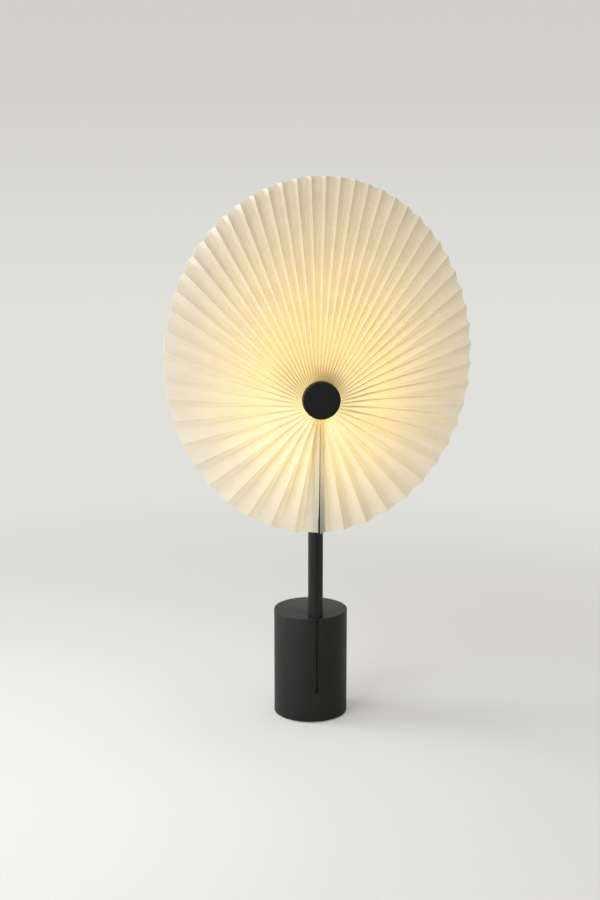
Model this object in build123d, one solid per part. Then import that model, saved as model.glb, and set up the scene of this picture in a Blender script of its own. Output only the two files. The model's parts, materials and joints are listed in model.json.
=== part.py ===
from build123d import *
import math
import os

# Portable table lamp, millimetres, +Z up.
# The origin is the middle of the foot's underside, and the front of the lamp faces -Y.

# Fits and clearances
snug_fit = 0.05
slide_fit = 0.1
loose_fit = 0.4
running_fit = 0.05

# Base casing
base_radius = 35.0
base_wall = 3.5
base_top_wall = 5.2
base_lift = 1.0
base_edge_round = 0.8
post_radius = 4.0
post_length = 16.0
post_embed = 0.8
post_angle = 35.0

# Foot, base plate and ballast
foot_thickness = 1.6
foot_margin = 1.2
plate_thickness = 3.0
plate_fit = 0.15
ballast_thickness = 18.0
ballast_fit = 0.3
plate_screw_radius = 1.5
plate_screw_head_radius = 2.8
plate_screw_head_height = 1.6
plate_screw_grip = 10.0

# Control board and charging socket
board_spacer_height = 2.0
board_spacer_radius = 2.6
board_thickness = 1.6
board_edge_gap = 1.0
board_screw_radius = 1.25
board_screw_head_radius = 2.1
board_screw_head_height = 1.1
board_screw_grip = 6.0
board_screw_inset = 6.5
board_screw_angle = 57.0
chip_width = 5.0
chip_depth = 2.5
chip_height = 1.2
chip_pitch = 7.5
chip_count = 3
socket_width = 9.0
socket_height = 3.2
socket_length = 7.4
socket_shell = 0.35
socket_corner = 1.5
socket_rear_wall = 1.2
socket_wall_gap = 0.25
tongue_width = 6.6
tongue_thickness = 0.7
tongue_length = 4.8
port_margin = 1.8
port_corner = 3.0

# Battery
cell_radius = 9.2
cell_length = 65.0
cell_spacing = 19.2
cell_nub_radius = 3.2
cell_nub_height = 1.0
cell_fit = 0.15
battery_offset = 3.0
cradle_floor = 2.0
cradle_wall = 1.5
cradle_lip = 5.0
cradle_column_radius = 2.2
cell_headroom = 3.6

# Stem and its seat in the base
stem_radius = 7.0
stem_wall = 2.5
stem_groove_width = 1.4
stem_groove_depth = 1.0
stem_front_wall = 1.4
stem_seat_wall = 3.2
stem_seat_floor = 2.4
stem_slit_width = 2.4
seat_board_gap = 1.4
set_screw_radius = 2.0
set_screw_proud = 0.3
set_screw_end_gap = 16.0
hub_rise = 214.0
stem_top_rise = 12.0
stem_cap_thickness = 1.6
stem_cap_spigot = 4.0
lead_radius = 2.0
grommet_wall = 0.8
grommet_flange = 1.2
grommet_flange_thickness = 0.8

# Lamp pipe through the stem
pipe_radius = 5.0
pipe_wall = 1.75
pipe_window_fit = 0.4
nut_across_flats = 14.0
nut_thickness = 3.0

# Pleated shade
pleat_count = 53
shade_half_height = 163.6
shade_half_width = 141.0
shade_lift = 36.3
sheet_thickness = 0.3
rim_pleat_depth = 3.7
seam_half_angle = 0.3
rosette_crowding = 0.276
rosette_turn = 10.6

# Hub in front of the stem
saddle_depth = 1.8
flange_web = 3.2
flange_radius = 16.0
barrel_radius = 13.7
barrel_wall = 2.7
sheet_clearance = 0.3
nut_seat_web = 3.3
nut_room = 1.6
dimmer_board_gap = 0.5
dimmer_board_thickness = 1.0
clamp_ring_thickness = 1.2
clamp_screw_count = 3
clamp_screw_radius = 0.8
clamp_screw_head_radius = 1.3
clamp_screw_head_height = 0.6
clamp_screw_grip = 5.0

# Dimmer and knob
dimmer_size = 12.4
dimmer_height = 4.0
dimmer_floor = 1.0
bush_wall = 1.05
bush_height = 3.0
dome_radius = 3.2
dome_rise = 0.4
dome_thickness = 0.2
rotor_radius = 3.5
rotor_floor_gap = 1.4
rotor_flange_width = 0.9
rotor_flange_thickness = 0.55
shaft_radius = 2.0
shaft_flat = 1.5
press_travel = 0.8
press_clearance = 0.4
knob_radius = 17.25
knob_height = 7.6
knob_wall = 1.3
knob_face = 2.5
knob_boss_radius = 4.5
knob_shaft_grip = 1.2
knob_edge_round = 0.8
knob_ring_gap = 0.35

# Light head behind the stem
rear_saddle_radius = 9.0
rear_saddle_length = 3.0
head_radius = 39.0
head_wall = 1.8
head_floor = 2.0
head_boss_length = 12.5
head_rim_setback = 2.4
head_edge_round = 2.5
light_board_thickness = 1.6
light_board_margin = 1.5
light_count = 18
light_circle_radius = 25.0
light_size = 3.0
light_height = 0.8
light_screw_count = 3
light_screw_circle = 16.0
light_screw_radius = 1.25
light_screw_head_radius = 2.2
light_screw_head_height = 1.4
light_screw_grip = 1.4
diffuser_wall = 1.6
diffuser_fit = 0.2
diffuser_setback = 1.0
diffuser_crown = 1.4
diffuser_bulge = 0.5
rear_cap_radius = 13.0
rear_cap_wall = 2.2
rear_cap_room = 0.6
rear_cap_edge_round = 1.5

# Places in the base, worked out from the underside up
cavity_radius = base_radius - base_wall
plate_bottom = foot_thickness
plate_top = plate_bottom + plate_thickness
plate_radius = cavity_radius - plate_fit
ballast_top = plate_top + ballast_thickness
board_bottom = ballast_top + board_spacer_height
board_top = board_bottom + board_thickness
board_radius = cavity_radius - board_edge_gap
cell_bottom = board_top + cradle_floor
cell_top = cell_bottom + cell_length
cradle_top = cell_top + cradle_floor
cavity_top = cradle_top + cell_headroom
base_height = cavity_top + base_top_wall
post_circle = cavity_radius - post_radius + post_embed
port_height_above_table = board_top + socket_height / 2
socket_mouth = math.sqrt(cavity_radius**2 - (socket_width / 2) ** 2) - socket_wall_gap

# Places of the stem
stem_bore_radius = stem_radius - stem_wall
stem_seat_radius = stem_radius + slide_fit
stem_y = -(base_radius - stem_front_wall - stem_seat_radius)
seat_boss_radius = stem_seat_radius + stem_seat_wall
seat_boss_bottom = board_top + seat_board_gap
stem_bottom = seat_boss_bottom + stem_seat_floor
hub_height = base_height + hub_rise
stem_top = hub_height + stem_top_rise
grommet_radius = lead_radius + snug_fit + grommet_wall

# Plan of the pleats: the folds leave the hub evenly and crowd together near the top of the rim
fold_count = 2 * pleat_count


def fold_mean_angle(fold):
    """Angle of a fold where it leaves the hub, from straight up, towards +X."""
    swing = math.pi - math.radians(seam_half_angle)
    return swing * (2 * fold / fold_count - 1)


def rim_plan_point(fold):
    """Place of a fold's end on the rim, across and up from the hub."""
    mean = fold_mean_angle(fold)
    turn = math.radians(rosette_turn)
    angle = mean
    for _ in range(30):
        miss = angle + rosette_crowding * (math.sin(angle - turn) - math.sin(turn)) - mean
        angle -= miss / (1 + rosette_crowding * math.cos(angle - turn))
    return (shade_half_width * math.sin(angle), shade_lift + shade_half_height * math.cos(angle))


def hub_plan_point(fold):
    """Place of a fold's start at the hub, across and up from the hub's axis."""
    mean = fold_mean_angle(fold)
    return (pleat_inner_radius * math.sin(mean), pleat_inner_radius * math.cos(mean))


def widest_rim_step():
    """Longest step between neighbouring folds on the rim."""
    rim = [rim_plan_point(fold) for fold in range(fold_count + 1)]
    return max(math.dist(near, far) for near, far in zip(rim, rim[1:]))


pleat_inner_radius = barrel_radius + sheet_clearance
pleat_width = math.hypot(widest_rim_step(), rim_pleat_depth)

# Places along the hub's axis, counted forward from the stem's axis
flange_back = stem_radius - saddle_depth
flange_front = stem_radius + flange_web
pleat_middle = flange_front + sheet_clearance + (pleat_width + sheet_thickness) / 2
pleat_front = pleat_middle + (pleat_width + sheet_thickness) / 2
barrel_front = pleat_front + sheet_clearance
ring_front = barrel_front + clamp_ring_thickness
nut_seat = flange_front + nut_seat_web
pipe_front = nut_seat + nut_thickness
dimmer_board_back = pipe_front + dimmer_board_gap
dimmer_back = dimmer_board_back + dimmer_board_thickness
dimmer_front = dimmer_back + dimmer_height
bush_front = dimmer_front + bush_height
rotor_back = dimmer_back + dimmer_floor + rotor_floor_gap
rotor_front = bush_front + running_fit + rotor_flange_thickness
shaft_back = dimmer_back + dimmer_floor + dome_rise + dome_thickness + press_travel + press_clearance
knob_back = barrel_front + press_travel + press_clearance
knob_front = knob_back + knob_height
knob_inner_face = knob_front - knob_face
knob_boss_back = rotor_front + press_travel + press_clearance
shaft_front = knob_inner_face + knob_shaft_grip
knob_inner_radius = knob_radius - knob_wall
ring_radius = knob_inner_radius - knob_ring_gap
barrel_bore_radius = barrel_radius - barrel_wall
clamp_screw_circle = barrel_bore_radius + barrel_wall / 2

# Places of the light head, also counted forward, so behind the stem they are negative
saddle_front_end = -(stem_radius - saddle_depth)
head_boss_front = -(stem_radius + rear_saddle_length)
head_floor_front = head_boss_front - head_boss_length
head_back = head_floor_front - head_floor
head_rim = head_boss_front - head_rim_setback
head_inner_radius = head_radius - head_wall
light_board_front = head_floor_front + light_board_thickness
diffuser_radius = head_inner_radius - diffuser_fit
diffuser_edge = head_rim - diffuser_setback
pipe_back = head_back - nut_thickness

# Frames for pieces along the hub's axis and along the stem
hub_frame = Location(Plane(origin=(0, stem_y, hub_height), x_dir=(1, 0, 0), z_dir=(0, -1, 0)))
stem_frame = Location((0, stem_y, 0))
rear_frame = Location(Plane(origin=(0, 0, 0), x_dir=(1, 0, 0), z_dir=(0, 1, 0)))


def rod(radius, start, end):
    """Round bar along the frame's axis."""
    bar = Cylinder(radius, end - start, align=(Align.CENTER, Align.CENTER, Align.MIN))
    return Pos(0, 0, start) * bar


def tube(outer_radius, inner_radius, start, end):
    """Round tube along the frame's axis."""
    return rod(outer_radius, start, end) - rod(inner_radius, start, end)


def block(width, depth, start, end):
    """Square bar along the frame's axis."""
    bar = Box(width, depth, end - start, align=(Align.CENTER, Align.CENTER, Align.MIN))
    return Pos(0, 0, start) * bar


def screw(radius, head_radius, head_height, seat, tip):
    """Screw along the frame's axis, its head seated at seat and its shank running to tip."""
    outward = 1 if seat > tip else -1
    head_end = seat + outward * head_height
    head = rod(head_radius, min(seat, head_end), max(seat, head_end))
    return head + rod(radius, min(seat, tip), max(seat, tip))


def group(solids):
    """Several separate solids kept as one piece list."""
    return Compound(children=[single for part in solids for single in part.solids()])


def turned(*edges):
    """Turned piece from a closed outline of radius and place along the frame's axis."""
    return revolve(Plane.XZ * make_face(edges), Axis.Z)


def edges_at(part, radius, place):
    """Round edges of one radius at one place along the frame's axis."""
    found = []
    for edge in part.edges().filter_by(GeomType.CIRCLE):
        same_radius = math.isclose(edge.radius, radius, abs_tol=1e-4)
        same_place = math.isclose(edge.arc_center.Z, place, abs_tol=1e-4)
        if same_radius and same_place:
            found.append(edge)
    return found


def post_spots():
    """Places of the screw posts around the base's axis."""
    across = post_circle * math.cos(math.radians(post_angle))
    along = post_circle * math.sin(math.radians(post_angle))
    return [Location((side * across, end * along, 0)) for side in (1, -1) for end in (1, -1)]


def board_screw_spots():
    """Places of the board screws around the base's axis."""
    circle = board_radius - board_screw_inset
    across = circle * math.cos(math.radians(board_screw_angle))
    along = circle * math.sin(math.radians(board_screw_angle))
    return [Location((side * across, end * along, 0)) for side in (1, -1) for end in (1, -1)]


def cell_spots():
    """Places of the battery cells in the base."""
    return [Location((side * cell_spacing / 2, battery_offset, 0)) for side in (1, -1)]


def set_screw_heights():
    """Heights of the stem's set screws."""
    return (stem_bottom + set_screw_end_gap, base_height - set_screw_end_gap)


# Pieces of the base


def base_body():
    """Casing: a cup open below, with the stem's seat, its slit, screw posts and the charging port."""
    casing = rod(base_radius, base_lift, base_height)
    rims = edges_at(casing, base_radius, base_height) + edges_at(casing, base_radius, base_lift)
    casing = fillet(rims, base_edge_round)
    casing -= rod(cavity_radius, base_lift, cavity_top)
    inside_of_wall = rod(cavity_radius + base_wall / 2, base_lift, base_height - base_top_wall / 2)
    casing += stem_frame * rod(seat_boss_radius, seat_boss_bottom, base_height) & inside_of_wall
    for spot in post_spots():
        casing += spot * rod(post_radius, ballast_top, ballast_top + post_length) & inside_of_wall
    for spot in post_spots():
        casing -= spot * rod(plate_screw_radius + snug_fit, ballast_top, ballast_top + plate_screw_grip)
    casing -= stem_frame * rod(stem_seat_radius, stem_bottom, base_height)
    casing -= stem_frame * rod(grommet_radius + snug_fit, seat_boss_bottom, stem_bottom)
    slit_depth = base_radius + stem_y
    slit = block(stem_slit_width, slit_depth, stem_bottom, base_height)
    casing -= Pos(0, stem_y - slit_depth / 2, 0) * slit
    for height in set_screw_heights():
        hole = rod(set_screw_radius + snug_fit, stem_radius, seat_boss_radius + stem_seat_wall)
        casing -= Pos(0, stem_y, height) * rear_frame * hole
    port = RectangleRounded(socket_width + 2 * port_margin, socket_height + 2 * port_margin, port_corner)
    opening = extrude(port, base_radius)
    reach = cavity_radius - base_wall
    return casing - Pos(0, reach, port_height_above_table) * rear_frame * opening


def base_plate():
    """Round plate that closes the casing, with a recess for each screw head."""
    plate = rod(plate_radius, plate_bottom, plate_top)
    for spot in post_spots():
        plate -= spot * rod(plate_screw_radius + slide_fit, plate_bottom, plate_top)
        recess_top = plate_bottom + plate_screw_head_height
        plate -= spot * rod(plate_screw_head_radius + slide_fit, plate_bottom, recess_top)
    return plate


def foot_pad():
    """Soft round pad under the base plate."""
    return rod(plate_radius - foot_margin, 0, foot_thickness)


def ballast_weight():
    """Heavy disc on the base plate, with holes for the plate screws and the board screws."""
    weight = rod(cavity_radius - ballast_fit, plate_top, ballast_top)
    for spot in post_spots():
        weight -= spot * rod(plate_screw_radius + loose_fit, plate_top, ballast_top)
    for spot in board_screw_spots():
        weight -= spot * rod(board_screw_radius + snug_fit, ballast_top - board_screw_grip, ballast_top)
    return weight


def plate_screws():
    """Screws that pull the base plate and the ballast up against the posts."""
    seat = plate_bottom + plate_screw_head_height
    tip = ballast_top + plate_screw_grip - loose_fit
    shape = screw(plate_screw_radius, plate_screw_head_radius, plate_screw_head_height, seat, tip)
    return group([spot * shape for spot in post_spots()])


def control_board():
    """Round circuit board with notches for the posts."""
    board = rod(board_radius, board_bottom, board_top)
    for spot in post_spots():
        board -= spot * rod(post_radius + loose_fit, board_bottom, board_top)
    for spot in board_screw_spots():
        board -= spot * rod(board_screw_radius + slide_fit, board_bottom, board_top)
    return board


def board_spacers():
    """Short tubes that carry the board on the ballast."""
    spacer = tube(board_spacer_radius, board_screw_radius + slide_fit, ballast_top, board_bottom)
    return group([spot * spacer for spot in board_screw_spots()])


def board_screws():
    """Screws through the board and its spacers into the ballast."""
    tip = ballast_top - board_screw_grip + loose_fit
    shape = screw(board_screw_radius, board_screw_head_radius, board_screw_head_height, board_top, tip)
    return group([spot * shape for spot in board_screw_spots()])


def board_chips():
    """Row of driver chips on the board, halfway between the stem's seat and the battery."""
    seat_back = stem_y + seat_boss_radius
    battery_front = battery_offset - cell_radius - cradle_wall
    row_y = (seat_back + battery_front) / 2
    chip = block(chip_width, chip_depth, board_top, board_top + chip_height)
    first = -(chip_count - 1) * chip_pitch / 2
    return group([Pos(first + place * chip_pitch, row_y, 0) * chip for place in range(chip_count)])


def charge_socket():
    """Flat charging socket on the board: a thin shell with a tongue inside."""
    shell = extrude(RectangleRounded(socket_width, socket_height, socket_corner), socket_length)
    inner_width = socket_width - 2 * socket_shell
    inner_height = socket_height - 2 * socket_shell
    mouth = RectangleRounded(inner_width, inner_height, socket_corner - socket_shell)
    hollow = Pos(0, 0, socket_rear_wall) * extrude(mouth, socket_length)
    tongue = block(tongue_width, tongue_thickness, socket_rear_wall, socket_rear_wall + tongue_length)
    place = Pos(0, socket_mouth - socket_length, port_height_above_table)
    return place * rear_frame * (shell - hollow + tongue)


def battery_cradle():
    """Two trays joined by two columns, holding the cells upright on the board."""
    outline = SlotCenterToCenter(cell_spacing, 2 * (cell_radius + cradle_wall))
    tray = extrude(outline, cradle_floor + cradle_lip)
    cradle = Pos(0, battery_offset, board_top) * tray
    cradle += Pos(0, battery_offset, cell_top - cradle_lip) * tray
    column_offset = cell_radius + cradle_wall - cradle_column_radius - slide_fit
    for side in (1, -1):
        column = rod(cradle_column_radius, board_top, cradle_top)
        cradle += Pos(0, battery_offset + side * column_offset, 0) * column
    for spot in cell_spots():
        cradle -= spot * rod(cell_radius + cell_fit, cell_bottom, cell_top)
    return cradle


def battery_cells():
    """Two round cells, each with a small end nub."""
    body = rod(cell_radius, cell_bottom, cell_top - cell_nub_height)
    cell = body + rod(cell_nub_radius, cell_bottom, cell_top)
    return group([spot * cell for spot in cell_spots()])


def stem_set_screws():
    """Set screws that lock the stem in its seat."""
    tip = stem_radius + snug_fit / 2
    shape = rod(set_screw_radius, tip, seat_boss_radius + set_screw_proud)
    return group([Pos(0, stem_y, height) * rear_frame * shape for height in set_screw_heights()])


def lead_grommet():
    """Soft ring that guides the lead through the floor of the stem's seat."""
    ring = tube(grommet_radius, lead_radius + snug_fit, seat_boss_bottom, stem_bottom)
    flange_bottom = seat_boss_bottom - grommet_flange_thickness
    flange = tube(grommet_radius + grommet_flange, lead_radius + snug_fit, flange_bottom, seat_boss_bottom)
    return stem_frame * (ring + flange)


# Pieces of the stem


def stem():
    """Tube with a groove down its front and a cross bore for the lamp pipe."""
    post = tube(stem_radius, stem_bore_radius, stem_bottom, stem_top)
    groove = block(stem_groove_width, 2 * stem_groove_depth, stem_bottom, stem_top)
    post = stem_frame * (post - Pos(0, -stem_radius, 0) * groove)
    return post - hub_frame * rod(pipe_radius + snug_fit, -2 * stem_radius, 2 * stem_radius)


def stem_cap():
    """Plug that closes the stem's top."""
    disc = rod(stem_radius, stem_top, stem_top + stem_cap_thickness)
    disc = fillet(edges_at(disc, stem_radius, stem_top + stem_cap_thickness), stem_cap_thickness / 2)
    return stem_frame * (disc + rod(stem_bore_radius - snug_fit, stem_top - stem_cap_spigot, stem_top))


def stem_lead():
    """Lead that runs up inside the stem, from the board into the lamp pipe."""
    return stem_frame * rod(lead_radius, board_top, hub_height)


def lamp_pipe():
    """Hollow pipe through the stem that carries the light head and the hub."""
    pipe = tube(pipe_radius, pipe_radius - pipe_wall, pipe_back, pipe_front)
    window = rod(lead_radius + pipe_window_fit, hub_height - 2 * pipe_radius, hub_height)
    return hub_frame * pipe - stem_frame * window


def pipe_nuts():
    """Nuts at both ends of the lamp pipe."""
    hexagon = RegularPolygon(nut_across_flats / 2, 6, major_radius=False)
    nut = extrude(hexagon, nut_thickness) - rod(pipe_radius + snug_fit, 0, nut_thickness)
    return group([hub_frame * Pos(0, 0, place) * nut for place in (nut_seat, pipe_back)])


# Pieces of the hub and the shade


def stem_shape(radius):
    """Upright bar on the stem's axis at hub height, for cutting saddles."""
    return stem_frame * rod(radius, hub_height - 4 * stem_radius, hub_height + 4 * stem_radius)


def hub_spool():
    """Spool that the pleats open round: a saddle on the stem, a flange and a hollow barrel."""
    spool = rod(flange_radius, flange_back, flange_front) + rod(barrel_radius, flange_front, barrel_front)
    spool -= rod(barrel_bore_radius, dimmer_board_back, barrel_front)
    nut_radius = nut_across_flats / 2 / math.cos(math.pi / 6) + nut_room
    spool -= rod(nut_radius, nut_seat, dimmer_board_back)
    spool -= rod(pipe_radius + snug_fit, flange_back, nut_seat)
    for spot in PolarLocations(clamp_screw_circle, clamp_screw_count, 90):
        spool -= spot * rod(clamp_screw_radius + snug_fit, barrel_front - clamp_screw_grip, barrel_front)
    return hub_frame * spool - stem_shape(stem_radius + snug_fit)


def clamp_ring():
    """Flat ring that holds the pleats on the barrel."""
    ring = tube(ring_radius, barrel_bore_radius, barrel_front, ring_front)
    for spot in PolarLocations(clamp_screw_circle, clamp_screw_count, 90):
        ring -= spot * rod(clamp_screw_radius + slide_fit, barrel_front, ring_front)
        recess = ring_front - clamp_screw_head_height
        ring -= spot * rod(clamp_screw_head_radius + slide_fit, recess, ring_front)
    return hub_frame * ring


def clamp_screws():
    """Small screws through the clamp ring into the barrel."""
    seat = ring_front - clamp_screw_head_height
    tip = barrel_front - clamp_screw_grip + slide_fit
    shape = screw(clamp_screw_radius, clamp_screw_head_radius, clamp_screw_head_height, seat, tip)
    spots = PolarLocations(clamp_screw_circle, clamp_screw_count, 90)
    return group([hub_frame * spot * shape for spot in spots])


def fold_section(plan_point):
    """Cross section of the sheet through all folds, as front and back points of each fold.

    Even folds are ridges, which stand forward, and odd folds are valleys. The outside of a bend
    has two points and its inside one, so that the sheet keeps its thickness on both leaves.
    """
    plan = [Vector(*plan_point(fold)) for fold in range(fold_count + 1)]
    forward = Vector(0, 0, 1)
    fronts = []
    backs = []
    for fold in range(fold_count + 1):
        before = plan[max(fold - 1, 0)]
        after = plan[min(fold + 1, fold_count)]
        steps = min(fold + 1, fold_count) - max(fold - 1, 0)
        across = (after - before).normalized()
        step = (after - before).length / steps
        depth = math.sqrt(pleat_width**2 - step**2)
        side = 1 if fold % 2 == 0 else -1
        middle = plan[fold] + forward * (pleat_middle + side * depth / 2)
        half = forward * (sheet_thickness / 2)
        spread = across * (sheet_thickness * math.tan(math.atan2(depth, step) / 2))
        if fold in (0, fold_count):
            lean = 1 if fold == 0 else -1
            square = (across * (lean * depth) + forward * step) * (sheet_thickness / 2 / pleat_width)
            fronts.append([middle + square])
            backs.append([middle - square])
        elif side > 0:
            fronts.append([middle + half - spread, middle + half + spread])
            backs.append([middle - half])
        else:
            fronts.append([middle + half])
            backs.append([middle - half - spread, middle - half + spread])
    return fronts, backs


def triangle(*corners):
    """Flat three-sided face."""
    return Face(Wire.make_polygon(corners, close=True))


def strip(near_start, near_end, far_end, far_start):
    """Two triangles across a four-sided stretch of the sheet."""
    return [triangle(near_start, near_end, far_end), triangle(near_start, far_end, far_start)]


def sheet_end(fronts, backs):
    """Faces that close the sheet's cut edge along one section."""
    faces = []
    for fold in range(fold_count + 1):
        if len(fronts[fold]) == 2:
            faces.append(triangle(fronts[fold][0], fronts[fold][1], backs[fold][0]))
        if len(backs[fold]) == 2:
            faces.append(triangle(fronts[fold][0], backs[fold][1], backs[fold][0]))
        if fold < fold_count:
            faces += strip(fronts[fold][-1], fronts[fold + 1][0], backs[fold + 1][0], backs[fold][-1])
    return faces


def pleated_shade():
    """One pleated sheet opened to a full rosette, its two ends meeting below the hub."""
    hub_fronts, hub_backs = fold_section(hub_plan_point)
    rim_fronts, rim_backs = fold_section(rim_plan_point)
    faces = sheet_end(hub_fronts, hub_backs) + sheet_end(rim_fronts, rim_backs)
    for near, far in ((hub_fronts, rim_fronts), (hub_backs, rim_backs)):
        near_line = [point for fold in near for point in fold]
        far_line = [point for fold in far for point in fold]
        for place in range(len(near_line) - 1):
            faces += strip(near_line[place], near_line[place + 1], far_line[place + 1], far_line[place])
    for end in (0, fold_count):
        faces += strip(hub_fronts[end][0], rim_fronts[end][0], rim_backs[end][0], hub_backs[end][0])
    return hub_frame * Solid(Shell(faces))


# Pieces of the dimmer and the knob


def dimmer_board():
    """Small round board that carries the dimmer in the barrel."""
    return hub_frame * rod(barrel_bore_radius - slide_fit, dimmer_board_back, dimmer_back)


def dimmer_body():
    """Square housing of the dimmer, with the bush that the rotor turns in."""
    body = block(dimmer_size, dimmer_size, dimmer_back, dimmer_front)
    body += rod(rotor_radius + bush_wall, dimmer_front, bush_front)
    return hub_frame * (body - rod(rotor_radius + running_fit, dimmer_back + dimmer_floor, bush_front))


def snap_dome():
    """Thin sprung dome under the shaft, a cap of a hollow ball."""
    edge = dimmer_back + dimmer_floor
    ball_radius = (dome_radius**2 + dome_rise**2) / (2 * dome_rise)
    centre = Pos(0, 0, edge + dome_rise - ball_radius)
    ball = centre * Sphere(ball_radius + dome_thickness) - centre * Sphere(ball_radius)
    return hub_frame * (ball & rod(dome_radius, edge, edge + dome_rise + dome_thickness))


def flatted(radius, flat, start, end):
    """Round bar with one flat along it."""
    cut = Pos(0, flat + radius, 0) * block(2 * radius, 2 * radius, start, end)
    return rod(radius, start, end) - cut


def dimmer_rotor():
    """Turning sleeve of the dimmer, driven by the shaft's flat."""
    rotor = rod(rotor_radius, rotor_back, rotor_front)
    flange_start = bush_front + running_fit
    rotor += rod(rotor_radius + rotor_flange_width, flange_start, rotor_front)
    bore = flatted(shaft_radius + running_fit, shaft_flat + running_fit, rotor_back, rotor_front)
    return hub_frame * (rotor - bore)


def knob_shaft():
    """Shaft of the knob, which turns the rotor and presses the dome."""
    return hub_frame * flatted(shaft_radius, shaft_flat, shaft_back, shaft_front)


def knob_cap():
    """Round flat-faced knob with a short skirt and an inner boss for the shaft."""
    cap = rod(knob_radius, knob_back, knob_front)
    cap = fillet(edges_at(cap, knob_radius, knob_front), knob_edge_round)
    cap -= rod(knob_inner_radius, knob_back, knob_inner_face)
    cap += rod(knob_boss_radius, knob_boss_back, knob_inner_face)
    bore = flatted(shaft_radius + snug_fit, shaft_flat + snug_fit, knob_boss_back, shaft_front)
    return hub_frame * (cap - bore)


# Pieces of the light head


def rear_saddle():
    """Spacer between the stem and the light head."""
    saddle = tube(rear_saddle_radius, pipe_radius + snug_fit, head_boss_front, saddle_front_end)
    return hub_frame * saddle - stem_shape(stem_radius + snug_fit)


def light_screw_spots():
    """Places of the light board's screws around the hub's axis."""
    return PolarLocations(light_screw_circle, light_screw_count, 90)


def head_cup():
    """Shallow round cup, open to the front, with a boss for the lamp pipe."""
    cup = rod(head_radius, head_back, head_rim)
    cup = fillet(edges_at(cup, head_radius, head_back), head_edge_round)
    cup -= rod(head_inner_radius, head_floor_front, head_rim)
    cup += rod(rear_saddle_radius, head_floor_front, head_boss_front)
    cup -= rod(pipe_radius + snug_fit, head_back, head_boss_front)
    hole_end = head_floor_front - light_screw_grip
    for spot in light_screw_spots():
        cup -= spot * rod(light_screw_radius + snug_fit, hole_end, head_floor_front)
    return hub_frame * cup


def light_board():
    """Ring-shaped board on the cup's floor."""
    inner_radius = rear_saddle_radius + loose_fit
    outer_radius = diffuser_radius - diffuser_wall - light_board_margin
    board = tube(outer_radius, inner_radius, head_floor_front, light_board_front)
    for spot in light_screw_spots():
        board -= spot * rod(light_screw_radius + slide_fit, head_floor_front, light_board_front)
    return hub_frame * board


def light_chips():
    """Ring of light chips on the board."""
    chip = block(light_size, light_size, light_board_front, light_board_front + light_height)
    return group([hub_frame * spot * chip for spot in PolarLocations(light_circle_radius, light_count)])


def light_screws():
    """Screws that hold the light board in the cup."""
    tip = head_floor_front - light_screw_grip + slide_fit
    head = (light_screw_head_radius, light_screw_head_height)
    shape = screw(light_screw_radius, *head, light_board_front, tip)
    return group([hub_frame * spot * shape for spot in light_screw_spots()])


def diffuser():
    """Opal cover over the light chips: a crowned ring with a skirt that stands on the cup's floor."""
    inner_radius = rear_saddle_radius + diffuser_fit
    skirt_radius = diffuser_radius - diffuser_wall
    crown = diffuser_edge + diffuser_crown
    under_crown = crown - diffuser_wall
    under_edge = diffuser_edge - diffuser_wall
    outline = [
        Line((diffuser_radius, head_floor_front), (diffuser_radius, diffuser_edge)),
        SagittaArc((diffuser_radius, diffuser_edge), (inner_radius, crown), -diffuser_bulge),
        Line((inner_radius, crown), (inner_radius, under_crown)),
        SagittaArc((inner_radius, under_crown), (skirt_radius, under_edge), diffuser_bulge),
        Line((skirt_radius, under_edge), (skirt_radius, head_floor_front)),
        Line((skirt_radius, head_floor_front), (diffuser_radius, head_floor_front)),
    ]
    return hub_frame * turned(*outline)


def rear_cap():
    """Round cover over the rear nut."""
    room = pipe_back - rear_cap_room
    back = room - rear_cap_wall
    cap = rod(rear_cap_radius, back, head_back)
    cap = fillet(edges_at(cap, rear_cap_radius, back), rear_cap_edge_round)
    nut_radius = nut_across_flats / 2 / math.cos(math.pi / 6) + rear_cap_room
    return hub_frame * (cap - rod(nut_radius, room, head_back))


pieces = {
    "base_body": base_body,
    "base_plate": base_plate,
    "foot_pad": foot_pad,
    "ballast_weight": ballast_weight,
    "plate_screws": plate_screws,
    "control_board": control_board,
    "board_spacers": board_spacers,
    "board_screws": board_screws,
    "board_chips": board_chips,
    "charge_socket": charge_socket,
    "battery_cradle": battery_cradle,
    "battery_cells": battery_cells,
    "stem_set_screws": stem_set_screws,
    "lead_grommet": lead_grommet,
    "stem": stem,
    "stem_cap": stem_cap,
    "stem_lead": stem_lead,
    "lamp_pipe": lamp_pipe,
    "pipe_nuts": pipe_nuts,
    "hub_spool": hub_spool,
    "clamp_ring": clamp_ring,
    "clamp_screws": clamp_screws,
    "pleated_shade": pleated_shade,
    "dimmer_board": dimmer_board,
    "dimmer_body": dimmer_body,
    "snap_dome": snap_dome,
    "dimmer_rotor": dimmer_rotor,
    "knob_shaft": knob_shaft,
    "knob_cap": knob_cap,
    "rear_saddle": rear_saddle,
    "head_cup": head_cup,
    "light_board": light_board,
    "light_chips": light_chips,
    "light_screws": light_screws,
    "diffuser": diffuser,
    "rear_cap": rear_cap,
}

os.makedirs("parts", exist_ok=True)
for name, make in pieces.items():
    export_step(make(), f"parts/{name}.step")
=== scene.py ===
import json
import logging
import math
import random
from dataclasses import dataclass, field
from enum import Enum

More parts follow.
